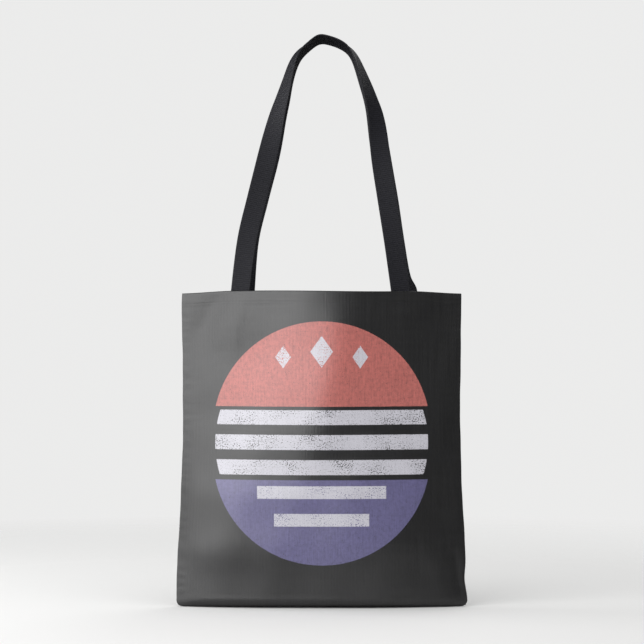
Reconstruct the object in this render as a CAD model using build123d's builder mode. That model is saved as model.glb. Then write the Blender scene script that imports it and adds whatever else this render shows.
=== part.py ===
from build123d import *
import math
import os

# A flat two-panel tote bag with two webbing shoulder straps, in millimetres. +Z is up and -Y is
# the front. The origin is on the floor under the middle of the bag. The two panels meet on the
# plane y = 0, where their seam allowances stand face to face inside the bag.

# Cloth
CLOTH = 0.8  # one layer of poplin, with its softness
HEM_DEPTH = 17.0  # how far the mouth is turned down inside
HEM_LAYERS = 3  # the wall itself and the twice-turned hem
ALLOWANCE = 10.0  # seam allowance inside the side and bottom seams

# Shape of the bag, opened a little: height, half the width between the side seams, and half the
# depth at the middle. The last level is above the mouth, so that the walls are cut off level.
BAG_HEIGHT = 413.5
LEVELS = (
    (0.0, 181.0, 20.0),
    (1.5, 185.0, 22.5),
    (4.0, 188.3, 24.7),
    (9.0, 190.0, 26.7),
    (22.0, 190.4, 29.3),
    (60.0, 189.0, 34.5),
    (100.0, 187.1, 39.0),
    (140.0, 184.8, 42.8),
    (185.0, 182.8, 46.0),
    (244.0, 181.9, 48.2),
    (300.0, 182.2, 48.3),
    (360.0, 182.7, 47.0),
    (BAG_HEIGHT, 183.1, 45.0),
    (BAG_HEIGHT + 20.0, 183.3, 44.2),
)
CORNER_RADIUS = 10.0  # where the sewn outline turns the lower corners
SIDE_FROM = 22.0  # level from which the sewn outline follows the sides
SIDE_DRAFT = 0.5  # how much the sewn outline draws in from there to the bottom

# Straps
STRAP_WIDTH = 25.4  # one-inch webbing
WEBBING = 1.6  # its thickness
STRAP_RISE = 331.5  # from the hem to the crest
STRAP_REACH = 104.5  # from the middle of a strap's two feet to each foot
FRONT_STRAP_SHIFT = -2.0  # how far along +X the front strap is sewn off the middle
BACK_STRAP_SHIFT = 3.0  # the same for the back strap
STRAP_TUCK = 34.0  # sewn length inside the mouth
FOOT_Y = 24.0  # distance of the feet from the seam plane
STRAP_GAP = 1.0  # between the two crests
FOOT_GAP = 0.4  # between a foot and the top of the hem
FOOT_SLOPE = 0.1  # the feet lean towards the crest by this much along X per unit of height
CREST_X = -2.5
# Two levels that the loop passes: share of the rise, middle of the loop, half its width, and
# how much of the strap's own shift is left there
LOOP_LEVELS = ((0.455, 2.5, 79.0, 0.5), (0.83, 5.6, 49.5, 0.2))
TWIST_START = 0.16  # share of the strap's length where the webbing starts to turn on edge
LOFT_SPANS = 4  # a strap is lofted in this many spans
SPAN_SECTIONS = 8  # steps from section to section in each span

# Threads
THREAD = 0.8  # width of a run of stitches
THREAD_PROUD = 0.25  # how far the stitches stand out of the cloth
HEM_STITCH_DROP = 14.5  # hem stitches, below the mouth
SEAM_STITCH_INSET = 4.5  # seam stitches, inside the sewn outline
OVERLOCK_WIDTH = 4.0  # edge stitches on the seam allowances
RUN_SPLIT = 168.0  # where the side runs take over from the bottom run
BOX_STITCH_WIDTH = 19.0
BOX_STITCH_HEIGHT = 26.0
BOX_STITCH_DROP = 17.0  # middle of the box, below the mouth

# Care label, caught in the left side seam
LABEL_LENGTH = 30.0
LABEL_HEIGHT = 44.0
LABEL_THICKNESS = 0.5
LABEL_MIDDLE = 82.0  # height of its middle
LABEL_GAP = 0.5  # between the label and the edge stitches
LABEL_SEAM_X = 186.5  # distance of the side seam from the middle, at the top of the label

HEM_THICKNESS = HEM_LAYERS * CLOTH
TUCK_INSET = HEM_THICKNESS + WEBBING  # inner face of a sewn strap end
OVER = 500.0  # longer than anything it cuts


def front_half(inset, low, high):
    """The space between the seam plane and the front wall's outer face, inset by a distance."""
    with BuildPart() as half:
        for height, half_width, half_depth in LEVELS:
            radius = (half_width**2 + half_depth**2) / (2 * half_depth)
            reach = math.sqrt((radius - inset) ** 2 - (radius - half_depth) ** 2)
            with BuildSketch(Plane.XY.offset(height)):
                with BuildLine():
                    ThreePointArc((-reach, 0), (0, inset - half_depth), (reach, 0))
                    Line((reach, 0), (-reach, 0))
                make_face()
        loft(ruled=True)
        with Locations((0, 0, (low + high) / 2)):
            Box(OVER, OVER, high - low, mode=Mode.INTERSECT)
    return half.part


def wall_layer(near, far, shape):
    """What a shape cuts out of the front wall between two insets from its outer face."""
    outside = front_half(near, 0, BAG_HEIGHT)
    inside = front_half(far, 0, BAG_HEIGHT)
    with BuildPart() as layer:
        add(outside)
        add(inside, mode=Mode.SUBTRACT)
        add(shape, mode=Mode.INTERSECT)
    return layer.part


def seam_field(inset, half_thickness):
    """A plate on the seam plane, bounded by the sewn outline inset by a distance."""
    side = [(width - inset, height) for height, width, _ in LEVELS if SIDE_FROM <= height <= BAG_HEIGHT]
    with BuildPart() as field:
        with BuildSketch(Plane.XZ):
            with BuildLine():
                right = Spline((side[0][0] - SIDE_DRAFT, inset), *side)
                left = mirror(right, about=Plane.YZ)
                Line(left @ 0, right @ 0)
                Line(left @ 1, right @ 1)
            make_face()
            fillet(vertices().group_by(Axis.Y)[0], radius=CORNER_RADIUS)
        extrude(amount=half_thickness, both=True)
    return field.part


def seam_run(inset, width, half_thickness, low_x, high_x):
    """A run of stitches along the sewn outline, between two distances along X."""
    outer = seam_field(inset, half_thickness)
    inner = seam_field(inset + width, half_thickness)
    with BuildPart() as run:
        add(outer)
        add(inner, mode=Mode.SUBTRACT)
        with Locations(((low_x + high_x) / 2, 0, 0)):
            Box(high_x - low_x, OVER, 2 * OVER, mode=Mode.INTERSECT)
    return run.part


def sewn_ends(shift):
    """The two ends of the front strap, flat against the inside of the hem."""
    middle_z = BAG_HEIGHT - STRAP_TUCK / 2
    with BuildPart() as blocks:
        with Locations(*[(shift + x, -OVER / 4, middle_z) for x in (-STRAP_REACH, STRAP_REACH)]):
            Box(STRAP_WIDTH, OVER / 2, STRAP_TUCK)
    return wall_layer(HEM_THICKNESS, TUCK_INSET, blocks.part)


def box_stitches(middle_x):
    """A crossed rectangle of stitches through the front wall and one sewn end."""
    diagonal = math.hypot(BOX_STITCH_WIDTH, BOX_STITCH_HEIGHT)
    slope = math.degrees(math.atan2(BOX_STITCH_HEIGHT, BOX_STITCH_WIDTH))
    with BuildPart() as prism:
        with BuildSketch(Plane.XZ):
            with Locations((middle_x, BAG_HEIGHT - BOX_STITCH_DROP)):
                Rectangle(BOX_STITCH_WIDTH + THREAD, BOX_STITCH_HEIGHT + THREAD)
                Rectangle(BOX_STITCH_WIDTH - THREAD, BOX_STITCH_HEIGHT - THREAD, mode=Mode.SUBTRACT)
                Rectangle(diagonal, THREAD, rotation=slope)
                Rectangle(diagonal, THREAD, rotation=-slope)
        extrude(amount=OVER / 2)
    return wall_layer(-THREAD_PROUD, TUCK_INSET + THREAD_PROUD, prism.part)


def strap_section(path, across, share):
    """The plane of the webbing's section at a share of the strap's length, with its width along X."""
    along = path.tangent_at(share)
    outward = along.cross(across)
    # 0 at the feet, 1 at the crest, eased in and out
    rise = min(1, max(0, (0.5 - abs(share - 0.5) - TWIST_START) / (0.5 - TWIST_START)))
    turn = math.pi / 2 * rise * rise * (3 - 2 * rise)
    width_dir = outward * math.cos(turn) + across * math.sin(turn)
    return Plane(origin=path.position_at(share), x_dir=width_dir, z_dir=along)


def strap_loop(shift):
    """The front strap above the hem. Flat at its feet, it turns on edge towards its crest."""
    crest_y = STRAP_WIDTH / 2 + STRAP_GAP / 2
    lean = math.asin((FOOT_Y - crest_y) / STRAP_RISE)
    across = Vector(0, math.cos(lean), -math.sin(lean))
    plane = Plane(origin=(0, 0, 0), x_dir=(1, 0, 0), z_dir=-across)
    left_foot = (shift - STRAP_REACH, FOOT_GAP)
    right_foot = (shift + STRAP_REACH, FOOT_GAP)
    left_side = []
    right_side = []
    for rise_share, middle_x, half_width, shift_share in LOOP_LEVELS:
        middle_x += shift_share * shift
        left_side.append((middle_x - half_width, rise_share * STRAP_RISE))
        right_side.insert(0, (middle_x + half_width, rise_share * STRAP_RISE))
    crest = (CREST_X, STRAP_RISE)
    foot_directions = ((FOOT_SLOPE, 1), (FOOT_SLOPE, -1))
    with BuildLine(plane) as middle:
        Spline(left_foot, *left_side, crest, *right_side, right_foot, tangents=foot_directions)
    path = Pos(0, -FOOT_Y, BAG_HEIGHT) * middle.edges()[0]
    with BuildPart() as loop:
        for span in range(LOFT_SPANS):
            for step in range(SPAN_SECTIONS + 1):
                share = (span + step / SPAN_SECTIONS) / LOFT_SPANS
                with BuildSketch(strap_section(path, across, share)):
                    Rectangle(STRAP_WIDTH, WEBBING)
            loft()
    print("strap length", round(path.length), "volume", round(loop.part.volume))
    return loop.part


def write(name, part):
    """Labels a finished piece and writes its file."""
    part.label = name
    export_step(part, f"parts/{name}.step")


os.makedirs("parts", exist_ok=True)

# Panels
outer_space = front_half(0, 0, BAG_HEIGHT)
inner_space = front_half(CLOTH, CLOTH, LEVELS[-1][0])
hem_band = Pos(0, 0, BAG_HEIGHT - HEM_DEPTH / 2) * Box(OVER, OVER, HEM_DEPTH)
hem_layers = wall_layer(CLOTH, HEM_THICKNESS, hem_band)
inside_allowance = seam_field(ALLOWANCE, 2 * CLOTH)

with BuildPart() as allowance:
    add(outer_space)
    Box(OVER, 2 * CLOTH, 2 * OVER, mode=Mode.INTERSECT)
    add(inside_allowance, mode=Mode.SUBTRACT)

with BuildPart() as front_panel:
    add(outer_space)
    add(inner_space, mode=Mode.SUBTRACT)
    add(hem_layers)
    add(allowance.part)
write("front_panel", front_panel.part)

with BuildPart() as back_panel:
    mirror(front_panel.part, about=Plane.XZ)
write("back_panel", back_panel.part)

# Sewn strap ends, inside the mouth, and the strap loops that swing above it
front_ends = sewn_ends(FRONT_STRAP_SHIFT)
with BuildPart() as front_strap_ends:
    add(front_ends)
write("front_strap_ends", front_strap_ends.part)

back_ends = sewn_ends(BACK_STRAP_SHIFT)
with BuildPart() as back_strap_ends:
    mirror(back_ends, about=Plane.XZ)
write("back_strap_ends", back_strap_ends.part)

front_loop = strap_loop(FRONT_STRAP_SHIFT)
with BuildPart() as front_strap:
    add(front_loop)
write("front_strap", front_strap.part)

back_loop = strap_loop(BACK_STRAP_SHIFT)
with BuildPart() as back_strap:
    mirror(back_loop, about=Plane.XZ)
write("back_strap", back_strap.part)

# Hem stitches
hem_line = Pos(0, 0, BAG_HEIGHT - HEM_STITCH_DROP) * Box(OVER, OVER, THREAD)
hem_stitches = wall_layer(-THREAD_PROUD, HEM_THICKNESS + THREAD_PROUD, hem_line)
with BuildPart() as front_hem_thread:
    add(hem_stitches)
write("front_hem_thread", front_hem_thread.part)

with BuildPart() as back_hem_thread:
    mirror(hem_stitches, about=Plane.XZ)
write("back_hem_thread", back_hem_thread.part)

# Crossed boxes of stitches that hold the strap ends
for side, middle_x in (("left", -STRAP_REACH), ("right", STRAP_REACH)):
    front_crosses = box_stitches(middle_x + FRONT_STRAP_SHIFT)
    with BuildPart() as front_box:
        add(front_crosses)
    write(f"front_{side}_box_stitch", front_box.part)
    back_crosses = box_stitches(middle_x + BACK_STRAP_SHIFT)
    with BuildPart() as back_box:
        mirror(back_crosses, about=Plane.XZ)
    write(f"back_{side}_box_stitch", back_box.part)

# Seam stitches through both allowances, and the edge stitches along their raw edges
RUNS = {
    "left": (-OVER, -RUN_SPLIT),
    "bottom": (-RUN_SPLIT, RUN_SPLIT),
    "right": (RUN_SPLIT, OVER),
}
for side, (low_x, high_x) in RUNS.items():
    seam = seam_run(SEAM_STITCH_INSET, THREAD, CLOTH + THREAD_PROUD, low_x, high_x)
    with BuildPart() as seam_thread:
        add(seam)
    write(f"{side}_seam_thread", seam_thread.part)
    overlock_inset = ALLOWANCE - OVERLOCK_WIDTH + THREAD_PROUD
    edge = seam_run(overlock_inset, OVERLOCK_WIDTH, CLOTH + THREAD_PROUD, low_x, high_x)
    with BuildPart() as overlock:
        add(edge)
    write(f"{side}_overlock", overlock.part)

# Care label: a folded tab that swings from the left allowance
label_x = -(LABEL_SEAM_X - ALLOWANCE - THREAD_PROUD - LABEL_GAP)
with BuildPart() as care_label:
    with Locations((label_x, 0, LABEL_MIDDLE)):
        Box(LABEL_LENGTH, LABEL_THICKNESS, LABEL_HEIGHT, align=(Align.MIN, Align.CENTER, Align.CENTER))
    fillet(care_label.edges().filter_by(Axis.Y).group_by(Axis.X)[-1], radius=1.5)
write("care_label", care_label.part)
print("care label hinge x", label_x)
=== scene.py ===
"""A two-panel cloth tote bag with a printed roundel and two webbing straps, dressed over its frame.

Metres, +Z up, -Y the front. Both panels are cut from flat cloth: each is one grid that starts at
the hem's turned-under edge, goes over the mouth, down the wall, under the bag to the bottom seam
and up into the seam allowance. Straps, stitches and the label are meshes too, so every CAD node
has a piece that stands for it.
"""

import math

import bpy
import numpy as np
from numpy.polynomial import Polynomial
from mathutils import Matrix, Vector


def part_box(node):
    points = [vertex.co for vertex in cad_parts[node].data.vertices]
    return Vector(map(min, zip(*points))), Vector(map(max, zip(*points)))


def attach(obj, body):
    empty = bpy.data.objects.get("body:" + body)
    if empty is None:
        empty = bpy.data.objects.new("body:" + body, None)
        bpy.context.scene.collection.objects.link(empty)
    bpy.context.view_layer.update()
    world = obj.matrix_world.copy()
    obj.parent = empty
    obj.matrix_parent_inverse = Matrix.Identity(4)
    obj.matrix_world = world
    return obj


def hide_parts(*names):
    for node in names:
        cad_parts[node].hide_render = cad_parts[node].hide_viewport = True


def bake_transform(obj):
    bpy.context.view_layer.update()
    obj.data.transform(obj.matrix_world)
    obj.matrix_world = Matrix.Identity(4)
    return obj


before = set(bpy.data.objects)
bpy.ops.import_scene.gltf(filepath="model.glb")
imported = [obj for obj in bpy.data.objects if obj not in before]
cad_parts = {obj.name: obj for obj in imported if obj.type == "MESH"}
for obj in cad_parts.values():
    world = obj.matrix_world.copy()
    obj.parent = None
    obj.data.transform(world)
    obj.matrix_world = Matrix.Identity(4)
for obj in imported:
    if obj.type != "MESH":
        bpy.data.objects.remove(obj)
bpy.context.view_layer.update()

MM = 0.001
FRONT, BACK = -1, 1
SIDE_NAMES = {FRONT: "front", BACK: "back"}

# ---------------------------------------------------------------- shape of the bag
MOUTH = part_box("front_panel")[1].z
# Height, half the width between the side seams, and half the depth at the middle
LEVELS = np.array(
    (
        (22, 190.4, 29.3),
        (60, 189.0, 34.5),
        (100, 187.1, 39.0),
        (140, 184.8, 42.8),
        (185, 182.8, 46.0),
        (244, 181.9, 48.2),
        (300, 182.2, 48.3),
        (360, 182.7, 47.6),
        (414, 183.1, 46.8),
    )
) * MM
half_width_curve = Polynomial.fit(LEVELS[:, 0], LEVELS[:, 1], 4)
half_depth_curve = Polynomial.fit(LEVELS[:, 0], LEVELS[:, 2], 4)

CLOTH = 0.55 * MM  # thickness of one layer
SEAM_GAP = 0.1 * MM  # from the seam plane to the right side of an allowance
SEAM_FOLD = 0.75 * MM  # outer radius of the fold at the side and bottom seams
ALLOWANCE = 10 * MM
HEM_DEPTH = 17 * MM
HEM_TURN = 12 * MM  # height of the strip that is turned under again
HEM_FOLD = 1.15 * MM  # outer radius of the fold at the mouth
TURN_FOLD = 0.6 * MM  # outer radius of the fold at the hem's lower edge
HEM_STITCH_DROP = 14.5 * MM
BASE_TOP = 16 * MM  # below this the wall curves under the bag
BASE_POWER = 3.2  # of the superellipse that it follows there
CORNER_RADIUS = 8 * MM
STEP = 2.6 * MM  # of the grid on the walls
MOUTH_HALF = 0.183  # half the width of the mouth
SEAM_REACH = 0.19  # turns a share of the half width into a distance from the side seam
BACK_DROP = 0.8 * MM  # how much lower the back panel's mouth is

# Soft folds of each panel: two ends of the fold's line, how far it stands out, and its half width
FOLDS = {
    FRONT: (
        ((-131, 410), (-164, 350), -1.7, 14),
        ((-108, 405), (-138, 340), 0.5, 12),
        ((-107, 392), (-118, 330), 0.6, 9),
        ((104, 392), (116, 320), 0.6, 9),
        ((166, 2), (140, 84), 1.3, 15),
        ((184, 18), (172, 74), -1.8, 7),
        ((-180, 10), (-142, 92), 0.4, 18),
        ((150, 300), (172, 380), -0.8, 10),
    ),
    BACK: (
        ((-120, 396), (-158, 320), -1.5, 10),
        ((138, 400), (168, 340), -1.6, 9),
        ((-60, 90), (-150, 30), 1.4, 12),
        ((60, 80), (140, 26), 1.2, 12),
        ((20, 300), (-40, 210), -0.8, 16),
    ),
}


def smoothstep(low, high, value):
    share = np.clip((value - low) / (high - low), 0, 1)
    return share * share * (3 - 2 * share)


def bell(value, middle, half_width):
    return np.exp(-(((value - middle) / half_width) ** 2))


def waves(across, up, seed, count=7, shortest=0.05, longest=0.2):
    """Gentle unevenness of about one unit, a sum of plane waves."""
    random = np.random.default_rng(seed)
    total = np.zeros(np.broadcast(across, up).shape)
    for _ in range(count):
        length = random.uniform(shortest, longest)
        angle = random.uniform(0, math.pi)
        phase = random.uniform(0, 2 * math.pi)
        along = across * math.cos(angle) + up * math.sin(angle)
        total = total + np.sin(2 * math.pi * along / length + phase)
    return total / math.sqrt(count)


def outline(height, sign):
    """Distance of the side seam from the middle. Both panels share it."""
    level = np.maximum(height, BASE_TOP)
    width = half_width_curve(level)
    width = width + 0.25 * MM * np.sin(height / (17 * MM) + 2.0 * sign)
    width = width + 0.1 * MM * np.sin(height / (6.3 * MM) + 4.0 * sign)
    pulled_in = -2.3 * MM * bell(height, 35 * MM, 15 * MM) + 0.6 * MM * bell(height, 8 * MM, 9 * MM)
    return width + np.where(sign > 0, pulled_in, 0.0)


def mouth_height(share, side):
    """Top of the hem: highest near the straps, lower at the side seams."""
    x = share * MOUTH_HALF
    top = MOUTH - 3.2 * MM * smoothstep(112 * MM, 190 * MM, np.abs(x)) - 0.5 * MM
    top = top + 0.5 * MM * bell(x, -70 * MM, 70 * MM) - 0.6 * MM * bell(x, 60 * MM, 60 * MM)
    if side == BACK:
        top = top - BACK_DROP
    return top


def bulge(share, x, height, side):
    """How far the wall stands out from its side seams."""
    level = np.maximum(height, BASE_TOP)
    ridge = share - 0.06 * (1 - share**2) * smoothstep(0.1, 0.35, height)
    round_form = 1 - np.abs(share) ** 2.6
    softness = 0.22
    crown = math.sqrt(1 + softness**2)
    tent_form = (crown - np.sqrt(ridge**2 + softness**2)) / (crown - softness)
    tent_share = smoothstep(0.05, 0.36, height)
    form = round_form * (1 - tent_share) + tent_form * tent_share
    out = half_depth_curve(level) * form
    from_seam = (1 - np.abs(share)) * SEAM_REACH
    inside = smoothstep(0, 30 * MM, from_seam)
    out = out + 0.9 * MM * waves(x, height, 11 + side) * inside
    for (x_a, z_a), (x_b, z_b), depth, half_width in FOLDS[side]:
        start = np.array((x_a, z_a)) * MM
        run = np.array((x_b, z_b)) * MM - start
        along = ((x - start[0]) * run[0] + (height - start[1]) * run[1]) / (run @ run)
        off = ((x - start[0]) * run[1] - (height - start[1]) * run[0]) / math.hypot(*run)
        ends = smoothstep(-0.25, 0.25, along) * smoothstep(1.3, 0.7, along)
        ends = ends * smoothstep(0, 10 * MM, from_seam)
        out = out + depth * MM * bell(off, 0, half_width * MM) * ends
    # small puckers that the seam thread draws into the side seams
    pucker = np.sin(height / (2.3 * MM) + 3 * waves(x * 0, height, 5 + side))
    out = out + 0.12 * MM * pucker * bell(from_seam, 5 * MM, 5 * MM)
    return out


def panel_columns():
    """The grid's columns: share of the way from the middle to the side fold, distance from the
    outline, distance that the fold has brought it out, and the two parts of its normal."""
    steps = np.concatenate(([0.9, 1.1, 1.5, 1.9, 2.3], np.full(80, STEP / MM))) * MM
    from_seam = np.concatenate(([0], np.cumsum(steps)))
    from_seam = from_seam[from_seam < MOUTH_HALF - STEP / 2]
    wall = np.concatenate((-1 + from_seam / MOUTH_HALF, [0], (1 - from_seam / MOUTH_HALF)[::-1]))
    fin = np.linspace(ALLOWANCE, SEAM_FOLD, 6)
    turn = np.radians(np.arange(30, 151, 30))
    half_edge = np.concatenate((fin, SEAM_FOLD * (1 - np.sin(turn))))
    half_rise = np.concatenate((0 * fin, SEAM_FOLD * (1 - np.cos(turn))))
    half_out = np.concatenate((0 * fin - 1, -np.cos(turn)))
    half_sideways = np.concatenate((0 * fin, np.sin(turn)))
    count = len(wall)

    def both(half, middle):
        return np.concatenate((half, np.full(count, middle), half[::-1]))

    ones = np.ones(len(half_edge))
    share = np.concatenate((-ones, wall, ones))
    sign = np.where(share < 0, -1.0, 1.0)
    edge = both(half_edge, SEAM_FOLD)
    rise = both(half_rise, 2 * SEAM_FOLD)
    return share, sign, edge, rise, both(half_out, 1.0), both(half_sideways, 0.0)


COLUMNS = panel_columns()


def wall_row(height, side, inset=0.0):
    """x and distance from the seam plane of the panel's right side, and of the hem's layers."""
    share, sign, edge, rise, out, sideways = COLUMNS
    width = outline(height, sign)
    x = share * (width - SEAM_FOLD) + sign * (SEAM_FOLD - edge)
    away = SEAM_GAP + rise + bulge(share, x, height, side)
    room = 0.4 + 0.6 * np.clip((away - SEAM_GAP - 2 * SEAM_FOLD) / (5 * MM), 0, 1)
    x = x - sign * inset * room * sideways
    return x, away - inset * room * out


def hem_profile():
    """Drop below the mouth and inset from the wall, from the turned-under edge to the wall."""
    inner = 2 * HEM_FOLD
    turned = inner - 2 * TURN_FOLD
    low = HEM_DEPTH - TURN_FOLD
    profile = [(drop, turned) for drop in np.linspace(HEM_DEPTH - HEM_TURN, low, 5)]
    for angle in np.radians((45, 90, 135)):
        drop = low + TURN_FOLD * math.sin(angle)
        profile.append((drop, inner - TURN_FOLD * (1 + math.cos(angle))))
    profile += [(drop, inner) for drop in np.linspace(low, HEM_FOLD, 8)]
    for angle in np.radians(np.arange(22.5, 179, 22.5)):
        profile.append((HEM_FOLD * (1 - math.sin(angle)), HEM_FOLD * (1 + math.cos(angle))))
    outside = (1.15, 2.2, 3.6, 5.4, 7.4, 9.4, 11.2, 12.4, 13.3, 14, 14.5, 15, 15.7, 16.8, 18.4)
    outside = np.array(outside) * MM
    for drop in outside:
        pinch = 0.14 * MM * bell(drop, HEM_STITCH_DROP, 1.0 * MM)
        padding = 0.22 * MM * smoothstep(HEM_DEPTH + MM, HEM_DEPTH - 2 * MM, drop)
        padding *= smoothstep(0.5 * MM, 4 * MM, drop)
        profile.append((drop, pinch - padding))
    return profile


def panel_grid(side):
    """Points of a panel's right side, row by row from the turned-under edge to the raw edge."""
    share, sign = COLUMNS[:2]
    mouth = mouth_height(share, side)
    rows = []
    for drop, inset in hem_profile():
        height = mouth - drop
        x, away = wall_row(height, side, inset)
        rows.append((x, away, height))
    start = drop + STEP
    count = round((MOUTH - start - BASE_TOP) / STEP)
    for step in np.linspace(0, 1, count):
        height = (mouth - start) * (1 - step) + BASE_TOP * step
        x, away = wall_row(height, side)
        rows.append((x, away, height))
    # under the bag to the bottom seam
    x, away = wall_row(np.full(share.shape, BASE_TOP), side)
    seam = SEAM_GAP + SEAM_FOLD
    for angle in np.radians((86, 81, 75, 68, 60, 52, 44, 36, 28, 20, 13, 7, 3)):
        reach = math.sin(angle) ** (2 / BASE_POWER)
        height = BASE_TOP * (1 - math.cos(angle) ** (2 / BASE_POWER))
        x, _ = wall_row(np.full(share.shape, height), side)
        rows.append((x, np.minimum(away, seam) + np.maximum(away - seam, 0) * reach, height))
    for angle in np.radians((0, 30, 60, 90)):
        inward = seam - SEAM_FOLD * math.sin(angle)
        height = SEAM_FOLD * (1 - math.cos(angle))
        rows.append((x, np.minimum(away, inward), height))
    for height in np.linspace(SEAM_FOLD, ALLOWANCE, 5)[1:]:
        rows.append((x, np.minimum(away, SEAM_GAP), height))
    grid = np.zeros((len(rows), len(share), 3))
    for row, (x, away, height) in zip(grid, rows):
        row[:, 0] = x
        row[:, 1] = side * away
        row[:, 2] = height
    return round_corners(grid, sign, side)


def round_corners(grid, sign, side):
    """Rounds the lower corners of the outline and lifts the middle of the bottom a little."""
    x, height = grid[..., 0], grid[..., 2]
    inward = outline(height, sign) - np.abs(x)
    p = np.clip(1 - inward / CORNER_RADIUS, 0, 1)
    s = np.clip(1 - height / CORNER_RADIUS, 0, 1)
    new_p = p * np.sqrt(1 - s * s / 2)
    new_s = s * np.sqrt(1 - p * p / 2)
    grid[..., 0] = np.where(p > 0, sign * (np.abs(x) - CORNER_RADIUS * (p - new_p)), x)
    lift = 0.4 * MM * smoothstep(165 * MM, 60 * MM, np.abs(x)) * smoothstep(60 * MM, 0, height)
    grid[..., 2] = np.where((p > 0) & (s > 0), CORNER_RADIUS * (1 - new_s), height) + lift
    return grid


# ---------------------------------------------------------------- meshes
def mesh_object(name, points, faces):
    mesh = bpy.data.meshes.new(name)
    mesh.from_pydata([tuple(p) for p in points], [], faces)
    mesh.update()
    mesh.polygons.foreach_set("use_smooth", np.ones(len(mesh.polygons), bool))
    piece = bpy.data.objects.new(name, mesh)
    bpy.context.scene.collection.objects.link(piece)
    return piece


def grid_normals(grid):
    across = np.gradient(grid, axis=1)
    along = np.gradient(grid, axis=0)
    normal = np.cross(across, along)
    return normal / np.maximum(np.linalg.norm(normal, axis=2, keepdims=True), 1e-12)


def sheet_object(name, grid, thickness, flat, flip):
    """A closed sheet: the grid is its right side, and its other side lies a thickness behind.
    flat holds each grid point's place on the flat cloth. The right side has material 0."""
    rows, columns = grid.shape[:2]
    normal = grid_normals(grid) * (-1 if flip else 1)
    points = np.concatenate((grid.reshape(-1, 3), (grid - thickness * normal).reshape(-1, 3)))
    other = rows * columns
    index = np.arange(other).reshape(rows, columns)
    quads = np.stack((index[:-1, :-1], index[:-1, 1:], index[1:, 1:], index[1:, :-1]), -1)
    quads = quads.reshape(-1, 4)
    if flip:
        quads = quads[:, ::-1]
    rim = np.concatenate((index[0], index[1:, -1], index[-1, -2::-1], index[-2:0:-1, 0]))
    after = np.roll(rim, -1)
    edges = np.stack((after, rim, rim + other, after + other), -1)
    if flip:
        edges = edges[:, ::-1]
    faces = np.concatenate((quads, quads[:, ::-1] + other, edges))
    piece = mesh_object(name, points, faces.tolist())
    slots = np.concatenate((np.zeros(len(quads), int), np.ones(len(quads) + len(edges), int)))
    piece.data.polygons.foreach_set("material_index", slots.astype(np.int32))
    both = np.concatenate((flat.reshape(-1, 2), flat.reshape(-1, 2)))
    add_uv(piece, "cloth", both)
    return piece


def add_uv(piece, name, per_point):
    layer = piece.data.uv_layers.new(name=name)
    loops = np.zeros(len(piece.data.loops), np.int32)
    piece.data.loops.foreach_get("vertex_index", loops)
    layer.data.foreach_set("uv", per_point[loops].astype(np.float32).ravel())


def flat_places(grid):
    """Each grid point's place on the flat cloth, from lengths along its middle row and column."""
    middle_row = grid[grid.shape[0] // 2]
    across = np.concatenate(([0], np.cumsum(np.linalg.norm(np.diff(middle_row, axis=0), axis=1))))
    middle_column = grid[:, grid.shape[1] // 2]
    along = np.concatenate(([0], np.cumsum(np.linalg.norm(np.diff(middle_column, axis=0), axis=1))))
    across = across - across[-1] / 2
    return np.stack(np.broadcast_arrays(across[None, :], -along[:, None]), -1), across, along


# ---------------------------------------------------------------- materials
class Graph:
    """A material's node tree, with short ways to add nodes."""

    def __init__(self, name, **shader):
        self.material = bpy.data.materials.new(name)
        self.material.use_nodes = True
        self.tree = self.material.node_tree
        self.shader = self.tree.nodes["Principled BSDF"]
        for key, value in shader.items():
            self.shader.inputs[key.replace("_", " ")].default_value = value

    def put(self, socket, value):
        if isinstance(value, bpy.types.NodeSocket):
            self.tree.links.new(value, socket)
        else:
            socket.default_value = value

    def node(self, kind, inputs=None, **settings):
        node = self.tree.nodes.new(kind)
        for key, value in settings.items():
            setattr(node, key, value)
        for key, value in (inputs or {}).items():
            self.put(node.inputs[key], value)
        return node

    def math(self, operation, a, b=0.0, clamp=False):
        node = self.node("ShaderNodeMath", {0: a, 1: b}, operation=operation, use_clamp=clamp)
        return node.outputs[0]

    def mix(self, factor, a, b):
        node = self.node("ShaderNodeMix", data_type="RGBA")
        self.put(node.inputs[0], factor)
        self.put(node.inputs[6], a)
        self.put(node.inputs[7], b)
        return node.outputs[2]

    def uv(self, name):
        """The two coordinates of a UV map, in metres, and the map itself."""
        out = self.node("ShaderNodeUVMap", uv_map=name).outputs[0]
        parts = self.node("ShaderNodeSeparateXYZ", {0: out})
        return parts.outputs[0], parts.outputs[1], out

    def scaled(self, vector, x, y, z=1.0):
        node = self.node("ShaderNodeVectorMath", {0: vector, 1: (x, y, z)}, operation="MULTIPLY")
        return node.outputs[0]

    def noise(self, vector, scale, detail=2.0, roughness=0.5):
        inputs = {"Vector": vector, "Scale": scale, "Detail": detail, "Roughness": roughness}
        return self.node("ShaderNodeTexNoise", inputs).outputs[0]

    def between(self, value, low, high, soft):
        """1 between low and high, 0 outside, with soft edges."""
        above = self.math("DIVIDE", self.math("SUBTRACT", value, low), soft, clamp=True)
        below = self.math("DIVIDE", self.math("SUBTRACT", high, value), soft, clamp=True)
        return self.math("MULTIPLY", above, below)

    def ramp(self, value, low, high):
        """0 below low, 1 above high."""
        node = self.node("ShaderNodeMapRange", {0: value, 1: low, 2: high}, clamp=True)
        return node.outputs[0]

    def bump(self, height, distance, strength=1.0, under=None):
        node = self.node("ShaderNodeBump", {"Height": height, "Distance": distance, "Strength": strength})
        if under is not None:
            self.tree.links.new(under, node.inputs["Normal"])
        return node.outputs[0]


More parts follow.
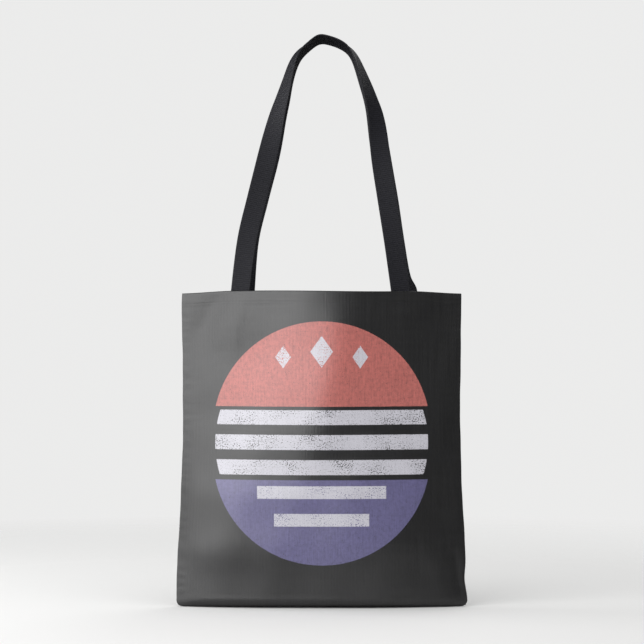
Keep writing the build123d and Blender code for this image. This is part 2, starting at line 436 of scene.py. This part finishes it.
def weave_height(g, u, v, pitch):
    """Height of a plain weave whose threads lie a pitch apart."""
    across = g.math("MULTIPLY", u, math.pi / pitch)
    along = g.math("MULTIPLY", v, math.pi / pitch)
    warp = g.math("ABSOLUTE", g.math("SINE", across))
    weft = g.math("ABSOLUTE", g.math("SINE", along))
    over = g.math("MULTIPLY", g.math("SINE", across), g.math("SINE", along))
    over = g.ramp(over, -0.15, 0.15)
    arched_warp = g.math("MULTIPLY", warp, g.math("ADD", g.math("MULTIPLY", weft, 0.6), 0.4))
    arched_weft = g.math("MULTIPLY", weft, g.math("ADD", g.math("MULTIPLY", warp, 0.6), 0.4))
    picked = g.math("MULTIPLY", arched_warp, over)
    return g.math("ADD", picked, g.math("MULTIPLY", arched_weft, g.math("SUBTRACT", 1.0, over)))


CHARCOAL = (0.0155, 0.0155, 0.0165, 1)
CHARCOAL_LIGHT = (0.026, 0.026, 0.027, 1)
CORAL = (0.585, 0.155, 0.133, 1)
VIOLET = (0.150, 0.137, 0.307, 1)
OFF_WHITE = (0.60, 0.59, 0.65, 1)
ROUNDEL_RADIUS = 142 * MM
ROUNDEL_TOP = (231.5 * MM, 262.6 * MM)  # centre and lower edge of the upper part
ROUNDEL_BOTTOM = (198 * MM, 167.8 * MM)  # centre and upper edge of the lower part
BAND_STRIPES = ((174, 194), (206.5, 226.5), (239, 258.5))
CAP_STRIPES = ((143, 160, 84), (107, 124, 62))
LOZENGES = ((0, 334, 15, 21), (-50, 327, 10.5, 15), (50, 327, 10.5, 15))


def cloth_material(name, printed=False, reverse=False):
    """Dyed poplin, with the roundel printed on it or not."""
    g = Graph(name, Specular_IOR_Level=1.0, IOR=1.65)
    u, v, cloth = g.uv("cloth")
    streak = g.noise(g.scaled(cloth, 520, 12), 1.0, 3.0, 0.6)
    drift = g.math("MULTIPLY", g.noise(g.scaled(cloth, 28, 14), 1.0, 2.0), 9.0)
    rib = g.math("SINE", g.math("ADD", g.math("MULTIPLY", u, math.tau / (4.1 * MM)), drift))
    slub = g.noise(g.scaled(cloth, 14, 300), 1.0, 2.0)
    cloud = g.noise(cloth, 22.0, 3.0)
    tone = g.math("ADD", g.math("MULTIPLY", streak, 0.55), g.math("MULTIPLY", slub, 0.2))
    tone = g.math("ADD", tone, g.math("MULTIPLY", cloud, 0.25))
    tone = g.ramp(tone, 0.33, 0.67)
    color = g.mix(tone, CHARCOAL, CHARCOAL_LIGHT)
    height = weave_height(g, u, v, 0.55 * MM)
    if printed:
        color = printed_color(g, color, tone)
    fine = g.bump(height, 0.05 * MM, 0.5)
    yarn = g.bump(streak, 0.26 * MM, 0.5, g.bump(rib, 0.036 * MM, 0.5, fine))
    g.tree.links.new(yarn, g.shader.inputs["Normal"])
    g.tree.links.new(color, g.shader.inputs["Base Color"])
    rough = g.math("ADD", g.math("MULTIPLY", slub, 0.12), 0.60 if reverse else 0.32)
    g.tree.links.new(rough, g.shader.inputs["Roughness"])
    return g.material


def printed_color(g, cloth_color, tone):
    """The cloth's colour under a worn two-colour roundel with plain stripes and lozenges."""
    x, z, place = g.uv("print")
    soft = 0.5 * MM
    wobble = g.math("MULTIPLY", g.math("SUBTRACT", g.noise(place, 900.0, 1.0), 0.5), 0.9 * MM)
    x = g.math("ADD", x, wobble)
    z = g.math("ADD", z, wobble)

    def disc(centre, radius):
        out = g.math("SUBTRACT", z, centre)
        squares = g.math("ADD", g.math("MULTIPLY", x, x), g.math("MULTIPLY", out, out))
        return g.between(g.math("SQRT", squares), -1.0, radius, soft)

    def stripe(low, high):
        return g.between(z, low * MM, high * MM, soft)

    def both(a, b):
        return g.math("MULTIPLY", a, b)

    def either(a, b):
        return g.math("MAXIMUM", a, b)

    upper = both(disc(ROUNDEL_TOP[0], ROUNDEL_RADIUS), g.between(z, ROUNDEL_TOP[1], 1.0, soft))
    lower = both(disc(ROUNDEL_BOTTOM[0], ROUNDEL_RADIUS), g.between(z, -1.0, ROUNDEL_BOTTOM[1], soft))
    band = 0.0
    for low, high in BAND_STRIPES:
        band = either(band, stripe(low, high))
    middle = (ROUNDEL_TOP[1] + ROUNDEL_BOTTOM[1]) / 2
    white = both(band, disc(middle, ROUNDEL_RADIUS - 3 * MM))
    for low, high, half in CAP_STRIPES:
        white = either(white, both(stripe(low, high), g.between(x, -half * MM, half * MM, soft)))
    for x_middle, z_middle, half_x, half_z in LOZENGES:
        from_x = g.math("ABSOLUTE", g.math("SUBTRACT", x, x_middle * MM))
        off_x = g.math("DIVIDE", from_x, half_x * MM)
        from_z = g.math("ABSOLUTE", g.math("SUBTRACT", z, z_middle * MM))
        off_z = g.math("DIVIDE", from_z, half_z * MM)
        white = either(white, g.between(g.math("ADD", off_x, off_z), -1.0, 1.0, 0.04))

    # wear: small chips that the cloth shows through, denser in some patches
    patch = g.noise(place, 30.0, 2.0)
    mottle = g.noise(place, 210.0, 3.0, 0.65)
    chips = g.noise(place, 640.0, 1.5, 0.5)
    chip_level = g.math("ADD", g.math("MULTIPLY", patch, 0.5), chips)
    specks = g.noise(g.scaled(place, 820, 640), 1.0, 1.5, 0.5)
    chipped = g.ramp(chip_level, 0.86, 0.915)
    heavy_wear = g.math("MAXIMUM", chipped, g.math("MULTIPLY", g.ramp(specks, 0.56, 0.72), 0.4))
    threads = g.noise(g.scaled(place, 800, 60), 1.0, 2.0, 0.6)
    light_wear = g.math("MULTIPLY", g.ramp(specks, 0.66, 0.72), 0.75)
    faded = g.math("MULTIPLY", g.ramp(mottle, 0.4, 0.7), 0.25)
    faded = g.math("ADD", faded, g.math("MULTIPLY", g.ramp(threads, 0.45, 0.7), 0.18))
    light_wear = g.math("ADD", light_wear, faded)
    yarn_shade = g.math("ADD", g.math("MULTIPLY", tone, 0.16), 0.9)

    def inked(under, ink, mask, wear):
        shaded = g.node("ShaderNodeVectorMath", {0: ink[:3], 3: yarn_shade}, operation="SCALE")
        shade = shaded.outputs[0]
        return g.mix(both(mask, g.math("SUBTRACT", 1.0, wear)), under, shade)

    color = inked(cloth_color, CORAL, upper, light_wear)
    color = inked(color, VIOLET, lower, light_wear)
    return inked(color, OFF_WHITE, white, heavy_wear)


def webbing_material():
    g = Graph("webbing", Specular_IOR_Level=0.35, IOR=1.5)
    u, v, strap = g.uv("cloth")
    rib = g.math("ABSOLUTE", g.math("SINE", g.math("MULTIPLY", v, math.pi / (2.6 * MM))))
    cords = weave_height(g, u, v, 0.75 * MM)
    fuzz = g.noise(g.scaled(strap, 900, 260), 1.0, 3.0, 0.6)
    tone = g.math("ADD", g.math("MULTIPLY", rib, 0.35), g.math("MULTIPLY", fuzz, 0.65))
    color = g.mix(g.ramp(tone, 0.25, 0.8), (0.007, 0.007, 0.0095, 1), (0.024, 0.024, 0.031, 1))
    edge = g.ramp(g.math("ABSOLUTE", u), 11.2 * MM, 12.6 * MM)
    color = g.mix(g.math("MULTIPLY", edge, 0.5), color, (0.030, 0.030, 0.033, 1))
    g.tree.links.new(color, g.shader.inputs["Base Color"])
    height = g.math("ADD", g.math("MULTIPLY", rib, 0.7), g.math("MULTIPLY", cords, 0.5))
    ribs = g.bump(height, 0.3 * MM, 0.8)
    selvedge = g.between(g.math("ABSOLUTE", u), 10.4 * MM, 11.0 * MM, 0.3 * MM)
    groove = g.bump(g.math("SUBTRACT", 1.0, selvedge), 0.2 * MM, 0.6, ribs)
    g.tree.links.new(groove, g.shader.inputs["Normal"])
    rough = g.math("ADD", g.math("MULTIPLY", fuzz, 0.2), 0.5)
    g.tree.links.new(rough, g.shader.inputs["Roughness"])
    return g.material


def thread_material():
    g = Graph("thread", Specular_IOR_Level=1.0, IOR=1.6)
    place = g.node("ShaderNodeTexCoord").outputs["Object"]
    twist = g.noise(place, 2600.0, 1.0)
    color = g.mix(twist, (0.016, 0.016, 0.018, 1), (0.045, 0.045, 0.048, 1))
    g.tree.links.new(color, g.shader.inputs["Base Color"])
    g.tree.links.new(g.bump(twist, 0.08 * MM, 0.6), g.shader.inputs["Normal"])
    rough = g.math("ADD", g.math("MULTIPLY", twist, 0.2), 0.42)
    g.tree.links.new(rough, g.shader.inputs["Roughness"])
    return g.material


def label_material():
    g = Graph("label_satin", Specular_IOR_Level=0.6, IOR=1.5)
    satin = g.uv("cloth")[2]
    floats = g.noise(g.scaled(satin, 260, 2400), 1.0, 2.0)
    color = g.mix(floats, (0.60, 0.60, 0.575, 1), (0.74, 0.74, 0.71, 1))
    g.tree.links.new(color, g.shader.inputs["Base Color"])
    g.tree.links.new(g.bump(floats, 0.06 * MM, 0.5), g.shader.inputs["Normal"])
    rough = g.math("ADD", g.math("MULTIPLY", floats, 0.15), 0.3)
    g.tree.links.new(rough, g.shader.inputs["Roughness"])
    return g.material


# ---------------------------------------------------------------- panels
def make_panel(side, right_side, reverse):
    name = SIDE_NAMES[side]
    grid = panel_grid(side)
    flat, across, along = flat_places(grid)
    panel = sheet_object(f"{name}_cloth_panel", grid, CLOTH, flat, flip=side == FRONT)
    if side == FRONT:
        place = np.concatenate((grid.reshape(-1, 3), grid.reshape(-1, 3)))[:, (0, 2)]
        add_uv(panel, "print", place)
    panel.data.materials.append(right_side)
    panel.data.materials.append(reverse)
    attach(panel, "bag")
    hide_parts(f"{name}_panel")


reverse_cloth = cloth_material("cloth_reverse", reverse=True)
make_panel(FRONT, cloth_material("front_cloth", printed=True), reverse_cloth)
make_panel(BACK, cloth_material("back_cloth"), reverse_cloth)


def wall_at(x, height, side):
    """Distance of the wall's right side from the seam plane, at one place."""
    width = float(outline(np.array(height), np.array(1.0))) - SEAM_FOLD
    share = np.array(x / width)
    out = float(bulge(share, np.array(x), np.array(height), side))
    return SEAM_GAP + 2 * SEAM_FOLD + out


# ---------------------------------------------------------------- straps
STRAP_HALF = 12.7 * MM
WEBBING = 1.6 * MM
STRAP_TUCK = 34 * MM
STRAP_CREST_Y = 13.2 * MM
STRAP_STEP = 2.2 * MM  # between the rows of a strap
ROWS_IN_BEND = 4  # rows for each step where it bends over the hem
CREST_TILT = math.radians(7.5)
PATH_SMOOTHING = 5
TURN_SMOOTHING = 20
# The loops, seen from the front: x, and height above the mouth
LOOPS = {
    FRONT: (
        (-106, 0), (-97.5, 66), (-85, 119), (-72, 171), (-59, 224), (-51.5, 250), (-44, 276),
        (-37.5, 298.5), (-29.5, 313.5), (-17, 324), (-4, 332), (8, 330.5), (24, 325.5),
        (36.5, 317.5), (45.5, 303), (56, 276), (64.5, 250), (71, 224), (77.5, 171), (85.5, 119),
        (93.5, 66), (102.2, 0),
    ),
    BACK: (
        (-100.5, 0), (-95.5, 66), (-83, 119), (-69.5, 171), (-58, 224), (-51, 250), (-44.5, 276),
        (-37.5, 296), (-29.5, 309.5), (-17, 320.5), (-3, 329), (9, 328), (25, 323), (37.5, 315),
        (46.5, 301), (56, 276), (65, 250), (71, 224), (79.5, 171), (88.5, 119), (96.5, 66),
        (105.5, 17), (114.5, 0),
    ),
}
# How many degrees the webbing is turned out of the view, at shares of the loop's rise
TURNS = (
    (0, 17), (0.12, 13), (0.3, 2), (0.45, -3), (0.57, 10), (0.67, 32), (0.75, 48), (0.83, 60),
    (0.91, 70), (1, 88),
)
FOOT_TURN = math.radians(TURNS[0][1])
# The heights between which the strap's rows lie closer, where the webbing bends over the hem
BEND_START, BEND_END = MOUTH - 3 * MM, MOUTH + 15 * MM


def smooth_path(points, spacing):
    """A curve through the points, with its points evenly spaced."""
    points = np.array(points, float)
    before = 2 * points[0] - points[1]
    after = 2 * points[-1] - points[-2]
    knots = np.vstack((before, points, after))
    path = []
    for a, b, c, d in zip(knots, knots[1:], knots[2:], knots[3:]):
        for t in np.arange(0, 1, 0.02):
            weights = (
                -0.5 * t + t * t - 0.5 * t**3,
                1 - 2.5 * t * t + 1.5 * t**3,
                0.5 * t + 2 * t * t - 1.5 * t**3,
                -0.5 * t * t + 0.5 * t**3,
            )
            path.append(sum(w * k for w, k in zip(weights, (a, b, c, d))))
    path.append(points[-1])
    path = evenly_spaced(np.array(path), spacing)
    for _ in range(PATH_SMOOTHING):
        path[1:-1] = (path[:-2] + 2 * path[1:-1] + path[2:]) / 4
    return evenly_spaced(path, spacing)


def evenly_spaced(path, spacing):
    length = np.concatenate(([0], np.cumsum(np.linalg.norm(np.diff(path, axis=0), axis=1))))
    places = np.linspace(0, length[-1], max(2, round(length[-1] / spacing)))
    return np.stack([np.interp(places, length, path[:, k]) for k in range(3)], 1)


def strap_path(side):
    """The strap's middle line, from one raw end inside the mouth to the other."""
    loop = np.array(LOOPS[side], float) * MM
    behind = 2 * HEM_FOLD + WEBBING / 2 + 0.3 * MM
    feet = [wall_at(loop[k, 0], MOUTH - 8 * MM, side) - behind for k in (0, -1)]
    rise = loop[:, 1].max()
    points = []
    for k, (x, up) in enumerate(loop):
        foot = feet[0] if k < len(loop) / 2 else feet[1]
        away = foot + (STRAP_CREST_Y - foot) * up / rise
        points.append((x, side * away, MOUTH + up))
    tucked = (STRAP_TUCK, STRAP_TUCK / 2, STRAP_TUCK / 8)
    left = [(loop[0, 0], side * feet[0], MOUTH - drop) for drop in tucked]
    right = [(loop[-1, 0], side * feet[1], MOUTH - drop) for drop in reversed(tucked)]
    return rows_over_hem(smooth_path(left + points + right, STRAP_STEP))


def rows_over_hem(path):
    """Closer rows where the webbing bends over the hem."""
    rows = [path[:1]]
    for a, b in zip(path, path[1:]):
        bends = BEND_START - 2 * MM < (a[2] + b[2]) / 2 < BEND_END + 2 * MM
        parts = ROWS_IN_BEND if bends else 1
        rows.append(a + (b - a) * (np.arange(1, parts + 1) / parts)[:, None])
    return np.vstack(rows)


def strap_section():
    """The webbing's section: along its width and through its thickness, round at both edges."""
    half, thick = STRAP_HALF, WEBBING / 2
    flat = np.linspace(-(half - thick), half - thick, 13)
    turn = np.radians((-60, -30, 0, 30, 60))
    side, face = thick * np.cos(turn), 0 * flat
    width = np.concatenate((flat, flat[-1] + side, flat[::-1], flat[0] - side))
    depth = np.concatenate((face - thick, thick * np.sin(turn), face + thick, -thick * np.sin(turn)))
    return width, depth


def make_strap(side, material):
    name = SIDE_NAMES[side]
    path = strap_path(side)
    along = np.gradient(path, axis=0)
    along /= np.linalg.norm(along, axis=1, keepdims=True)
    above = np.clip((path[:, 2] - MOUTH) / (path[:, 2].max() - MOUTH), 0, 1)
    turn = np.radians(np.interp(above, *np.array(TURNS, float).T))
    for _ in range(TURN_SMOOTHING):
        turn[1:-1] = (turn[:-2] + 2 * turn[1:-1] + turn[2:]) / 4
    tilt = CREST_TILT * smoothstep(0.5, 1.0, above)
    across = np.stack((0 * tilt, -side * np.cos(tilt), side * np.sin(tilt)), 1)
    outward = np.cross(along, across) * (1 if side == FRONT else -1)
    outward /= np.linalg.norm(outward, axis=1, keepdims=True)
    wide = outward * np.cos(turn)[:, None] + across * np.sin(turn)[:, None]
    through = np.cross(along, wide)
    width, depth = strap_section()
    length = np.concatenate(([0], np.cumsum(np.linalg.norm(np.diff(path, axis=0), axis=1))))
    count = len(width)
    ripple = 0.25 * MM * waves(length[:, None], width[None, :] * 0, 31 + side, 5, 0.04, 0.12)
    cup = 0.5 * MM * (width / STRAP_HALF) ** 2
    points = path[:, None] + width[None, :, None] * wide[:, None]
    points = points + (depth[None, :] + cup[None, :] + ripple)[..., None] * through[:, None]
    faces = []
    for row in range(len(path) - 1):
        for k in range(count):
            after = (k + 1) % count
            low, high = row * count, (row + 1) * count
            faces.append((low + k, low + after, high + after, high + k))
    last = (len(path) - 1) * count
    faces.append(tuple(range(count - 1, -1, -1)))
    faces.append(tuple(range(last, last + count)))
    strap = mesh_object(f"{name}_webbing_strap", points.reshape(-1, 3), faces)
    flat = np.stack(np.broadcast_arrays(width[None, :], length[:, None]), -1).reshape(-1, 2)
    add_uv(strap, "cloth", flat)
    strap.data.materials.append(material)
    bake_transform(strap)
    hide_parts(f"{name}_strap", f"{name}_strap_ends")
    return path


webbing = webbing_material()
strap_paths = {side: make_strap(side, webbing) for side in (FRONT, BACK)}

# ---------------------------------------------------------------- stitches
THREAD = 0.27 * MM  # half the width of a stitch


def stitch_piece(name, runs, material, node):
    """One piece of many separate stitches. A run is pairs of end points and the cloth's normals."""
    ring = np.radians(np.arange(0, 360, 60))
    stations = ((-1.0, 0.0), (-0.93, 0.6), (-0.55, 1.0), (0.55, 1.0), (0.93, 0.6), (1.0, 0.0))
    points, faces = [], []
    for start, end, normal in runs:
        start, end, normal = (np.array(v, float) for v in (start, end, normal))
        middle, half = (start + end) / 2, (end - start) / 2
        along = half / np.linalg.norm(half)
        across = np.cross(normal, along)
        across /= np.linalg.norm(across)
        up = np.cross(along, across)
        base = len(points)
        for at, fat in stations:
            sunk = middle + half * at - up * THREAD * 0.9 * at**4
            if fat == 0:
                points.append(sunk)
                continue
            for angle in ring:
                outward = math.cos(angle) * across + math.sin(angle) * up
                points.append(sunk + THREAD * fat * outward)
        first = base + 1
        for k in range(6):
            after = (k + 1) % 6
            faces.append((base, first + after, first + k))
            for row in range(3):
                low = first + row * 6
                faces.append((low + k, low + after, low + 6 + after, low + 6 + k))
            last = first + 18
            faces.append((last + k, last + after, base + 25))
    piece = mesh_object(name, points, faces)
    piece.data.materials.append(material)
    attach(piece, "bag")
    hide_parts(node)
    return piece


def along_line(points, pitch, fill=0.78):
    """Ends of the stitches of one even row along a line of points."""
    line = evenly_spaced(np.array(points, float), pitch / 8)
    length = len(line)
    pairs = []
    for k in range(0, length - 8, 8):
        pairs.append((line[k], line[min(length - 1, k + round(8 * fill))]))
    return pairs


def on_wall(x, height, side, lift):
    """A point on the wall's right side, raised from it."""
    return (x, side * (wall_at(x, height, side) + lift), height)


def wall_normal(x, height, side):
    step = 1.5 * MM
    a = np.array(on_wall(x - step, height, side, 0))
    b = np.array(on_wall(x + step, height, side, 0))
    c = np.array(on_wall(x, height - step, side, 0))
    d = np.array(on_wall(x, height + step, side, 0))
    normal = np.cross(b - a, d - c)
    normal /= np.linalg.norm(normal)
    return normal if normal[1] * side > 0 else -normal


def make_hem_stitches(side, material):
    runs = []
    reach = 180 * MM
    xs = np.linspace(-reach, reach, 400)
    share = xs / MOUTH_HALF
    heights = mouth_height(share, side) - HEM_STITCH_DROP
    outside = [on_wall(x, h, side, -0.28 * MM) for x, h in zip(xs, heights)]
    for a, b in along_line(outside, 3.2 * MM):
        runs.append((a, b, wall_normal(a[0], a[2], side)))
    depth = 2 * HEM_FOLD - 0.1 * MM
    inside = [(x, y - side * depth, z) for x, y, z in outside if abs(x) < 165 * MM]
    for a, b in along_line(inside, 3.2 * MM):
        runs.append((a, b, -wall_normal(a[0], a[2], side)))
    name = SIDE_NAMES[side]
    stitch_piece(f"{name}_hem_stitches", runs, material, f"{name}_hem_thread")


def make_box_stitches(side, left, material):
    """A crossed box of stitches that holds one strap end."""
    name = f"{SIDE_NAMES[side]}_{'left' if left else 'right'}"
    loop = LOOPS[side]
    middle_x = loop[0 if left else -1][0] * MM
    middle_z = MOUTH - 17 * MM
    half_x, half_z = 9.5 * MM, 13 * MM
    corners = [(-1, -1), (1, -1), (1, 1), (-1, 1), (-1, -1), (1, 1)]
    lines = [corners, [(-1, 1), (1, -1)]]
    path = strap_paths[side]
    end_y = path[2 if left else -3][1]
    lean = FOOT_TURN * (1 if left else -1) * side * -1
    runs = []
    for line in lines:
        flat = [(middle_x + half_x * i, 0, middle_z + half_z * j) for i, j in line]
        for a, b in along_line(flat, 2.6 * MM):
            ends = [on_wall(p[0], p[2], side, -0.17 * MM) for p in (a, b)]
            runs.append((ends[0], ends[1], wall_normal(a[0], a[2], side)))
            inner = []
            for p in (a, b):
                slope = math.tan(lean) * (p[0] - middle_x)
                inner.append((p[0], end_y - side * (WEBBING / 2 + 0.1 * MM) - slope, p[2]))
            runs.append((inner[0], inner[1], (0, -side, 0)))
    stitch_piece(f"{name}_crossed_stitches", runs, material, f"{name}_box_stitch")


def seam_line(inset, low_x, high_x):
    """Points along the sewn outline, inset by a distance, between two distances along X."""
    heights = np.linspace(MOUTH - 6 * MM, CORNER_RADIUS + inset, 160)
    left = [(-float(outline(h, -1.0)) + inset, 0, h) for h in heights]
    corner = []
    for angle in np.radians(np.arange(0, 91, 15)):
        corner.append((1 - math.cos(angle), 1 - math.sin(angle)))
    bottom_left = left[-1][0]
    for p, s in corner[1:]:
        left.append((bottom_left + CORNER_RADIUS * p, 0, inset + CORNER_RADIUS * s))
    right = [(float(outline(h, 1.0)) - inset, 0, h) for h in heights]
    bottom_right = right[-1][0]
    for p, s in corner[1:]:
        right.append((bottom_right - CORNER_RADIUS * p, 0, inset + CORNER_RADIUS * s))
    line = evenly_spaced(np.array(left + right[::-1]), MM)
    return line[(line[:, 0] >= low_x) & (line[:, 0] <= high_x)]


def make_seam(name, low_x, high_x, material):
    behind = SEAM_GAP + CLOTH + 0.12 * MM
    runs = []
    for a, b in along_line(seam_line(4.9 * MM, low_x, high_x), 2.8 * MM):
        for side in (FRONT, BACK):
            lift = np.array((0, side * behind, 0))
            runs.append((a + lift, b + lift, (0, side, 0)))
    stitch_piece(f"{name}_seam_stitches", runs, material, f"{name}_seam_thread")
    outer = along_line(seam_line(6.4 * MM, low_x, high_x), 2.4 * MM, 1.0)
    inner = along_line(seam_line(10.1 * MM, low_x, high_x), 2.4 * MM, 1.0)
    runs = []
    for k in range(min(len(outer), len(inner))):
        a, b = outer[k]
        share = k / max(1, min(len(outer), len(inner)) - 1)
        c = inner[round(share * (len(inner) - 1))][0]
        for side in (FRONT, BACK):
            lift = np.array((0, side * behind, 0))
            runs.append((a + lift, c + lift, (0, side, 0)))
            runs.append((a + lift, b + lift, (0, side, 0)))
        inward = (1, 0, 0) if c[0] < 0 else (-1, 0, 0)
        runs.append((c + (0, -behind, 0), c + (0, behind, 0), inward))
    stitch_piece(f"{name}_edge_stitches", runs, material, f"{name}_overlock")


thread = thread_material()
RUN_SPLIT = 168 * MM
for side in (FRONT, BACK):
    make_hem_stitches(side, thread)
    for left in (True, False):
        make_box_stitches(side, left, thread)
for seam_name, low_x, high_x in (
    ("left", -1, -RUN_SPLIT),
    ("bottom", -RUN_SPLIT, RUN_SPLIT),
    ("right", RUN_SPLIT, 1),
):
    make_seam(seam_name, low_x, high_x, thread)


# ---------------------------------------------------------------- care label
RIBBON = 0.16 * MM  # thickness of the label


def make_label(material):
    """A blank satin tab that curls a little away from the seam it is caught in."""
    low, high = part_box("care_label")
    inside = 2.2 * MM  # caught between the seam allowances
    across = np.concatenate(([-0.1, -0.06, -0.02], np.linspace(0, 1, 16)))
    down = np.linspace(0, 1, 22)
    grid = np.zeros((len(down), len(across), 3))
    for row, h in zip(grid, down):
        free = np.maximum(across, 0)
        curl = (1.6 + 1.2 * math.sin(3.1 * h + 0.4)) * free**2 + 0.8 * np.sin(5 * free + 2 * h) * free
        row[:, 0] = low.x + np.where(across < 0, across * inside / 0.1, (high.x - low.x) * across)
        height = high.z - (high.z - low.z) * h
        # the caught edge follows the seam, which isn't quite upright
        middle = (low.z + high.z) / 2
        lean = float(outline(np.array(height), -1.0) - outline(np.array(middle), -1.0))
        row[:, 0] -= lean * (1 - free)
        row[:, 1] = 0.08 * MM - 1.2 * MM * curl
        row[:, 2] = height
    flat, width, length = flat_places(grid)
    label = sheet_object("blank_care_label", grid, RIBBON, flat, flip=False)
    label.data.materials.append(material)
    label.data.materials.append(material)
    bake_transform(label)
    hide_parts("care_label")


make_label(label_material())


# ---------------------------------------------------------------- stage
FLOOR_RADIUS = 1.7
FLOOR_HEIGHT = -0.0004
# Strength of the world: as light, in reflections, and as the backdrop that the camera sees
WORLD_LIGHT, WORLD_MIRRORED, WORLD_SEEN = 0.47, 0.02, 0.835


def make_floor():
    ring = []
    for a in np.linspace(0, 2 * math.pi, 97)[:-1]:
        ring.append((FLOOR_RADIUS * math.cos(a), FLOOR_RADIUS * math.sin(a), FLOOR_HEIGHT))
    floor = mesh_object("floor", ring, [tuple(range(len(ring)))])
    g = Graph("pale_floor", Roughness=0.9, Specular_IOR_Level=0.0)
    g.shader.inputs["Base Color"].default_value = (0.81, 0.81, 0.805, 1)
    place = g.node("ShaderNodeTexCoord").outputs["Object"]
    distance = g.node("ShaderNodeVectorMath", {0: place}, operation="LENGTH").outputs["Value"]
    mirrored = g.node("ShaderNodeLightPath").outputs["Is Glossy Ray"]
    far = g.math("ADD", g.math("MULTIPLY", g.ramp(distance, 0.1, 0.4), 0.35), 0.65)
    mirrored = g.math("MULTIPLY", mirrored, far)
    fade = g.math("MAXIMUM", g.ramp(distance, 0.75, 1.65), mirrored)
    clear = g.node("ShaderNodeBsdfTransparent")
    blend = g.node("ShaderNodeMixShader", {0: fade, 1: g.shader.outputs[0], 2: clear.outputs[0]})
    output = g.tree.nodes["Material Output"]
    g.tree.links.new(blend.outputs[0], output.inputs["Surface"])
    floor.data.materials.append(g.material)


def make_world():
    world = bpy.data.worlds.new("studio")
    bpy.context.scene.world = world
    world.use_nodes = True
    tree = world.node_tree
    background = tree.nodes["Background"]
    path = tree.nodes.new("ShaderNodeLightPath")
    glossy = tree.nodes.new("ShaderNodeMix")
    glossy.inputs[2].default_value = WORLD_LIGHT
    glossy.inputs[3].default_value = WORLD_MIRRORED
    tree.links.new(path.outputs["Is Glossy Ray"], glossy.inputs[0])
    seen = tree.nodes.new("ShaderNodeMix")
    tree.links.new(path.outputs["Is Camera Ray"], seen.inputs[0])
    tree.links.new(glossy.outputs[0], seen.inputs[2])
    seen.inputs[3].default_value = WORLD_SEEN
    background.inputs["Color"].default_value = (1, 1, 0.995, 1)
    tree.links.new(seen.outputs[0], background.inputs["Strength"])


def aim(thing, target):
    direction = np.array(target) - np.array(thing.location)
    flat = math.hypot(direction[0], direction[1])
    tilt = math.atan2(flat, -direction[2])
    turn = math.atan2(direction[1], direction[0]) - math.pi / 2
    thing.rotation_euler = (tilt, 0, turn)


def soft_box(name, azimuth, elevation, distance, size, power, target=(0, 0, 0.25)):
    light = bpy.data.lights.new(name, "AREA")
    light.shape = "RECTANGLE"
    light.size, light.size_y = size
    light.energy = power
    lamp = bpy.data.objects.new(name, light)
    bpy.context.scene.collection.objects.link(lamp)
    a, e = math.radians(azimuth), math.radians(elevation)
    offset = (math.sin(a) * math.cos(e), -math.cos(a) * math.cos(e), math.sin(e))
    lamp.location = [t + distance * o for t, o in zip(target, offset)]
    aim(lamp, target)
    lamp.visible_camera = False
    return lamp


def make_camera():
    camera = bpy.data.cameras.new("camera")
    camera.sensor_width = 36
    distance, view_width = 3.5, 0.8446
    camera.lens = camera.sensor_width * distance / view_width
    camera.clip_end = 50
    rig = bpy.data.objects.new("camera", camera)
    bpy.context.scene.collection.objects.link(rig)
    rig.location = (0.0005, -distance, 0.3725)
    rig.rotation_euler = (math.pi / 2, 0, 0)
    bpy.context.scene.camera = rig


make_floor()
make_world()
soft_box("key", -37, 11, 2.0, (2.1, 1.7), 21)
soft_box("side_fill", -62, 30, 2.0, (1.2, 1.2), 6).visible_glossy = False
soft_box("left", -102, 12, 1.8, (0.8, 1.6), 13)
soft_box("back", 152, 28, 2.2, (1.8, 1.8), 10)
soft_box("overhead", 8, 68, 2.1, (2.6, 2.6), 19).visible_glossy = False
make_camera()
bpy.context.scene.view_settings.view_transform = "Standard"
